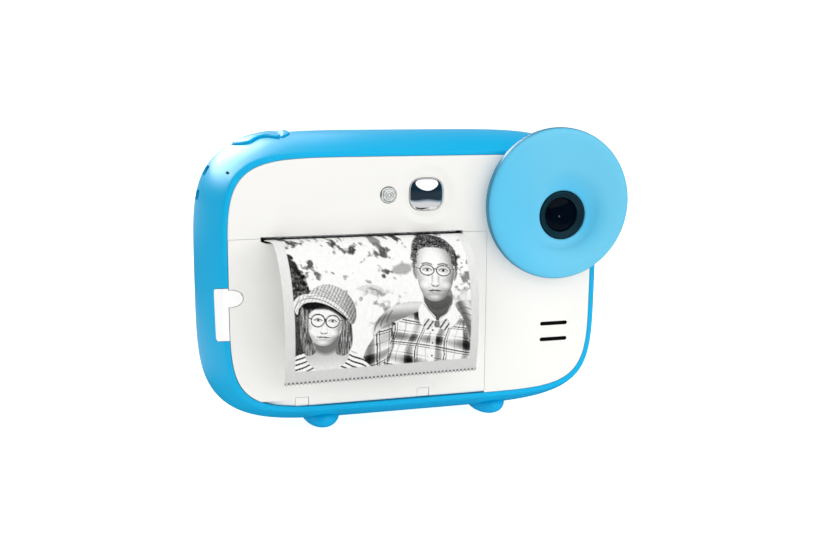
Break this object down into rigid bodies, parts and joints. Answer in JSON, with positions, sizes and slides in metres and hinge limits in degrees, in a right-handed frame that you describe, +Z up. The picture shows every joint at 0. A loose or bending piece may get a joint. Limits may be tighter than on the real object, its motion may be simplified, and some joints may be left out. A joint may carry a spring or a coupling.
{
  "type": "kids instant print camera",
  "caption": "Rounded two-tone toy camera with a saucer lens ring, selfie mirror, drop-down paper door with thermal printer behind it, and a curled print.",
  "frame": {"origin": "centre of the footprint on the table, on the plane the two feet rest on", "axes": "+Z up, -Y out of the front, +X to the right of a person looking at the front"},
  "size_m": [0.128, 0.0514, 0.0912],
  "materials": {
    "casing_blue": "glossy moulded ABS, cyan blue",
    "cover_white": "glossy moulded ABS, off white",
    "ring_blue": "satin soft-touch light blue",
    "flap_white": "soft satin elastomer, bright white",
    "lens_black": "fine satin black",
    "lens_glass": "coated glass, nearly black",
    "clear_plastic": "clear moulded polycarbonate",
    "mirror_chrome": "vacuum-metallised convex mirror",
    "steel": "bright steel",
    "sheet_steel": "zinc-plated pressed steel",
    "aluminium": "bare extruded aluminium",
    "brass": "turned brass",
    "pcb_green": "solder-masked glass-fibre board",
    "black_plastic": "moulded black plastic",
    "bin_white": "natural white moulded plastic",
    "gear_nylon": "natural acetal",
    "ceramic": "glazed alumina heater strip",
    "roller_rubber": "ground black silicone rubber",
    "mat_rubber": "grey silicone key mat",
    "paper_white": "thermal paper",
    "print_paper": "thermal paper with a grey-scale print",
    "battery_wrap": "heat-shrink wrap",
    "cable_film": "flat flexible cable",
    "screen_glass": "hard-coated black acrylic"
  },
  "bodies": {
    "core": {"body_shell": "casing_blue", "front_cover": "cover_white", "hinge_pin": "steel", "lens_ring": "ring_blue", "lens_barrel": "lens_black", "front_lens": "lens_glass", "rear_lens": "clear_plastic", "image_sensor": "black_plastic", "sensor_board": "pcb_green", "selfie_mirror": "mirror_chrome", "lamp_lens": "clear_plastic", "lamp_board": "pcb_green", "speaker": "black_plastic", "microphone": "sheet_steel", "foot_left": "casing_blue", "foot_right": "casing_blue", "usb_connector": "sheet_steel", "port_board": "pcb_green", "reset_switch": "black_plastic", "top_switch_board": "pcb_green", "shutter_switch": "black_plastic", "power_switch": "black_plastic", "screen_window": "screen_glass", "lcd_panel": "black_plastic", "key_mat": "mat_rubber", "main_board": "pcb_green", "battery_pack": "battery_wrap", "printer_chassis": "sheet_steel", "idler_pin": "steel", "printer_motor": "sheet_steel", "thermal_head": "aluminium", "head_ceramic": "ceramic", "head_spring_left": "steel", "head_spring_right": "steel", "tear_bar": "steel", "head_cable": "cable_film", "paper_bin": "bin_white", "paper_web": "paper_white", "case_screw_1": "steel", "case_screw_2": "steel", "case_screw_3": "steel", "case_screw_4": "steel"},
    "door": {"paper_door": "cover_white", "platen_bush_left": "gear_nylon", "platen_bush_right": "gear_nylon", "printed_sheet": "print_paper"},
    "platen": {"platen_roller": "roller_rubber", "platen_shaft": "steel", "platen_gear": "gear_nylon"},
    "idler": {"idler_gear": "gear_nylon"},
    "motor_rotor": {"motor_pinion": "brass"},
    "roll": {"paper_roll": "paper_white"},
    "port_flap": {"port_cover": "flap_white"},
    "shutter": {"shutter_key": "casing_blue"},
    "power": {"power_key": "casing_blue"},
    "dpad": {"dpad_key": "ring_blue"},
    "ok": {"ok_key": "cover_white"},
    "play": {"play_key": "ring_blue"},
    "menu": {"menu_key": "ring_blue"}
  },
  "joints": [
    {"name": "door_hinge", "type": "hinge", "parent": "core", "child": "door", "pos_m": [-0.01664, -0.01002, 0.01185], "axis": [1, 0, 0], "range_deg": [0, 80]},
    {"name": "roll_spin", "type": "hinge", "parent": "core", "child": "roll", "pos_m": [-0.01664, 0.00418, 0.0329], "axis": [1, 0, 0], "continuous": true},
    {"name": "platen_spin", "type": "hinge", "parent": "door", "child": "platen", "pos_m": [-0.01664, -0.00412, 0.0553], "axis": [1, 0, 0], "continuous": true},
    {"name": "idler_spin", "type": "hinge", "parent": "core", "child": "idler", "pos_m": [-0.01664, 0.00424, 0.06314], "axis": [1, 0, 0], "continuous": true},
    {"name": "motor_spin", "type": "hinge", "parent": "core", "child": "motor_rotor", "pos_m": [-0.01664, 0.00568, 0.0739], "axis": [1, 0, 0], "continuous": true},
    {"name": "port_flap_hinge", "type": "hinge", "parent": "core", "child": "port_flap", "pos_m": [-0.06006, -0.00724, 0.0394], "axis": [0, 0, -1], "range_deg": [0, 100]},
    {"name": "shutter_press", "type": "slide", "parent": "core", "child": "shutter", "axis": [0, 0, -1], "range_m": [0, 0.0007]},
    {"name": "power_press", "type": "slide", "parent": "core", "child": "power", "axis": [0, 0, -1], "range_m": [0, 0.0007]},
    {"name": "dpad_rock", "type": "hinge", "parent": "core", "child": "dpad", "pos_m": [-0.03214, 0.02118, 0.0529], "axis": [0, 0, 1], "range_deg": [-2.5, 2.5]},
    {"name": "ok_press", "type": "slide", "parent": "core", "child": "ok", "axis": [0, -1, 0], "range_m": [0, 0.0005]},
    {"name": "play_press", "type": "slide", "parent": "core", "child": "play", "axis": [0, -1, 0], "range_m": [0, 0.0005]},
    {"name": "menu_press", "type": "slide", "parent": "core", "child": "menu", "axis": [0, -1, 0], "range_m": [0, 0.0005]}
  ],
  "couplings": [
    {"joint": "platen_spin", "follows": "roll_spin", "ratio": 3.0769},
    {"joint": "idler_spin", "follows": "roll_spin", "ratio": -1.7949},
    {"joint": "motor_spin", "follows": "roll_spin", "ratio": 3.5897}
  ]
}
